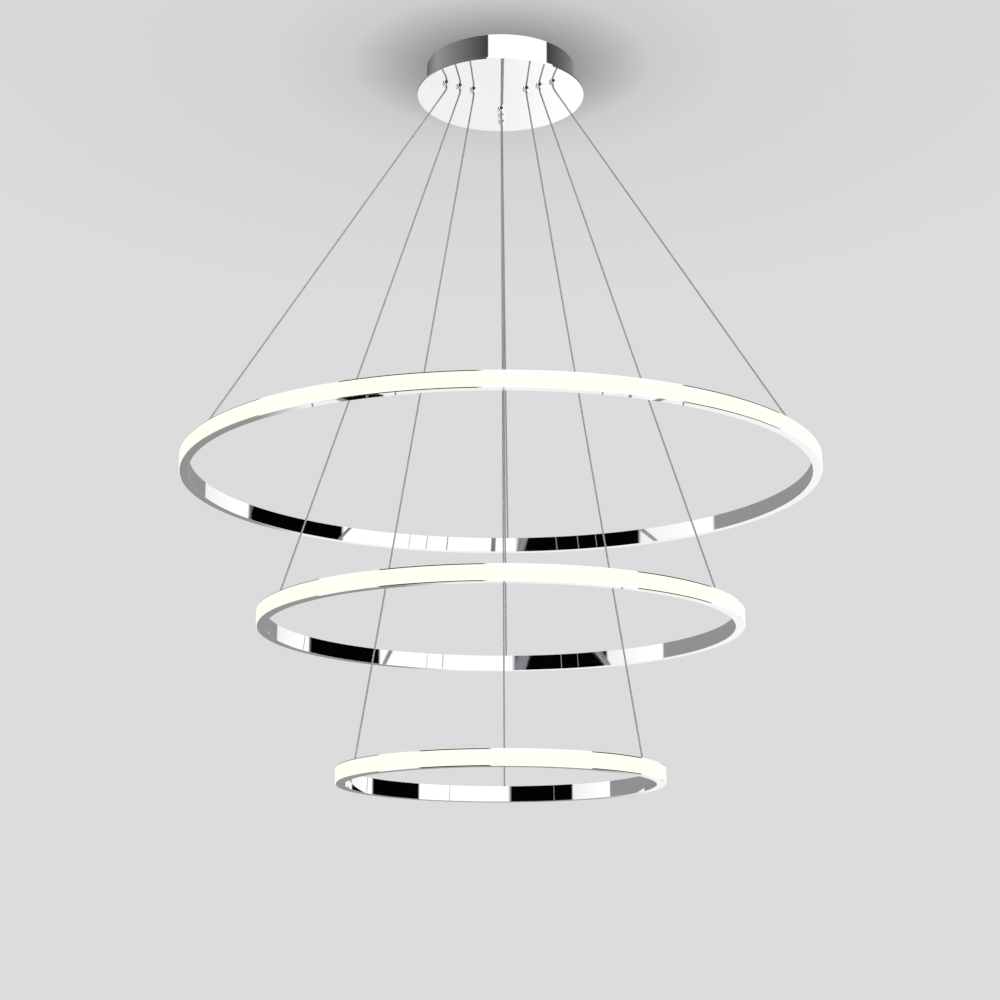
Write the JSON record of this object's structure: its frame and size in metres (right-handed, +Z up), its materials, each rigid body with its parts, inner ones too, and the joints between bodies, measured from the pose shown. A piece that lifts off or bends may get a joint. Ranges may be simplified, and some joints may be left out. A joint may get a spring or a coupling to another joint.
{
  "type": "led ring chandelier",
  "caption": "Chandelier of lit rings of falling size, hung one below the other on thin wires from a round mirror canopy, each ring's height set at push-release wire grippers.",
  "frame": {"origin": "on the canopy's axis in the ceiling plane, midway between the bracket's two screw slots", "axes": "+Z up into the ceiling, everything hangs below the origin; +Y towards the rear row of wires; +X to the right, along the ceiling bracket"},
  "size_m": [0.7999, 0.8, 0.947],
  "materials": {
    "ring_channel": "mirror chrome",
    "diffuser": "opal, glowing evenly",
    "light_board": "matte white",
    "ferrule": "plain",
    "wire": "stranded steel",
    "gripper": "mirror chrome",
    "canopy_disc": "mirror chrome",
    "canopy_drum": "mirror chrome",
    "bracket": "galvanised",
    "screw": "plated",
    "foam_pad": "adhesive foam",
    "driver": "moulded",
    "terminal_block": "moulded"
  },
  "bodies": {
    "canopy": {"large_ring_wire_rear": "wire", "large_ring_wire_left": "wire", "large_ring_wire_right": "wire", "large_ring_grippers": "gripper", "large_ring_gripper_noses": "gripper", "large_ring_driver_pad": "foam_pad", "large_ring_driver": "driver", "middle_ring_wire_rear": "wire", "middle_ring_wire_left": "wire", "middle_ring_wire_right": "wire", "middle_ring_grippers": "gripper", "middle_ring_gripper_noses": "gripper", "middle_ring_driver_pad": "foam_pad", "middle_ring_driver": "driver", "small_ring_wire_rear": "wire", "small_ring_wire_left": "wire", "small_ring_wire_right": "wire", "small_ring_grippers": "gripper", "small_ring_gripper_noses": "gripper", "small_ring_driver_pad": "foam_pad", "small_ring_driver": "driver", "canopy_disc": "canopy_disc", "canopy_drum": "canopy_drum", "ceiling_bracket": "bracket", "earth_screw": "screw", "side_screws": "screw", "terminal_block": "terminal_block"},
    "large_ring": {"large_ring_channel": "ring_channel", "large_ring_diffuser": "diffuser", "large_ring_light_boards": "light_board", "large_ring_ferrules": "ferrule"},
    "middle_ring": {"middle_ring_channel": "ring_channel", "middle_ring_diffuser": "diffuser", "middle_ring_light_boards": "light_board", "middle_ring_ferrules": "ferrule"},
    "small_ring": {"small_ring_channel": "ring_channel", "small_ring_diffuser": "diffuser", "small_ring_light_boards": "light_board", "small_ring_ferrules": "ferrule"},
    "large_ring_plunger_rear": {"large_ring_plunger_rear": "gripper"},
    "large_ring_plunger_left": {"large_ring_plunger_left": "gripper"},
    "large_ring_plunger_right": {"large_ring_plunger_right": "gripper"},
    "middle_ring_plunger_rear": {"middle_ring_plunger_rear": "gripper"},
    "middle_ring_plunger_left": {"middle_ring_plunger_left": "gripper"},
    "middle_ring_plunger_right": {"middle_ring_plunger_right": "gripper"},
    "small_ring_plunger_rear": {"small_ring_plunger_rear": "gripper"},
    "small_ring_plunger_left": {"small_ring_plunger_left": "gripper"},
    "small_ring_plunger_right": {"small_ring_plunger_right": "gripper"}
  },
  "joints": [
    {"name": "large_ring_height", "type": "slide", "parent": "canopy", "child": "large_ring", "axis": [0, 0, 1], "range_m": [0, 0.25], "deforming": ["large_ring_wire_rear", "large_ring_wire_left", "large_ring_wire_right"]},
    {"name": "middle_ring_height", "type": "slide", "parent": "canopy", "child": "middle_ring", "axis": [0, 0, 1], "range_m": [0, 0.3], "deforming": ["middle_ring_wire_rear", "middle_ring_wire_left", "middle_ring_wire_right"]},
    {"name": "small_ring_height", "type": "slide", "parent": "canopy", "child": "small_ring", "axis": [0, 0, 1], "range_m": [0, 0.4], "deforming": ["small_ring_wire_rear", "small_ring_wire_left", "small_ring_wire_right"]},
    {"name": "large_ring_release_rear", "type": "slide", "parent": "canopy", "child": "large_ring_plunger_rear", "axis": [0, 0, 1], "range_m": [0, 0.002], "stiffness_N_per_m": 800, "springref_m": -0.002},
    {"name": "large_ring_release_left", "type": "slide", "parent": "canopy", "child": "large_ring_plunger_left", "axis": [0, 0, 1], "range_m": [0, 0.002], "stiffness_N_per_m": 800, "springref_m": -0.002},
    {"name": "large_ring_release_right", "type": "slide", "parent": "canopy", "child": "large_ring_plunger_right", "axis": [0, 0, 1], "range_m": [0, 0.002], "stiffness_N_per_m": 800, "springref_m": -0.002},
    {"name": "middle_ring_release_rear", "type": "slide", "parent": "canopy", "child": "middle_ring_plunger_rear", "axis": [0, 0, 1], "range_m": [0, 0.002], "stiffness_N_per_m": 800, "springref_m": -0.002},
    {"name": "middle_ring_release_left", "type": "slide", "parent": "canopy", "child": "middle_ring_plunger_left", "axis": [0, 0, 1], "range_m": [0, 0.002], "stiffness_N_per_m": 800, "springref_m": -0.002},
    {"name": "middle_ring_release_right", "type": "slide", "parent": "canopy", "child": "middle_ring_plunger_right", "axis": [0, 0, 1], "range_m": [0, 0.002], "stiffness_N_per_m": 800, "springref_m": -0.002},
    {"name": "small_ring_release_rear", "type": "slide", "parent": "canopy", "child": "small_ring_plunger_rear", "axis": [0, 0, 1], "range_m": [0, 0.002], "stiffness_N_per_m": 800, "springref_m": -0.002},
    {"name": "small_ring_release_left", "type": "slide", "parent": "canopy", "child": "small_ring_plunger_left", "axis": [0, 0, 1], "range_m": [0, 0.002], "stiffness_N_per_m": 800, "springref_m": -0.002},
    {"name": "small_ring_release_right", "type": "slide", "parent": "canopy", "child": "small_ring_plunger_right", "axis": [0, 0, 1], "range_m": [0, 0.002], "stiffness_N_per_m": 800, "springref_m": -0.002}
  ]
}
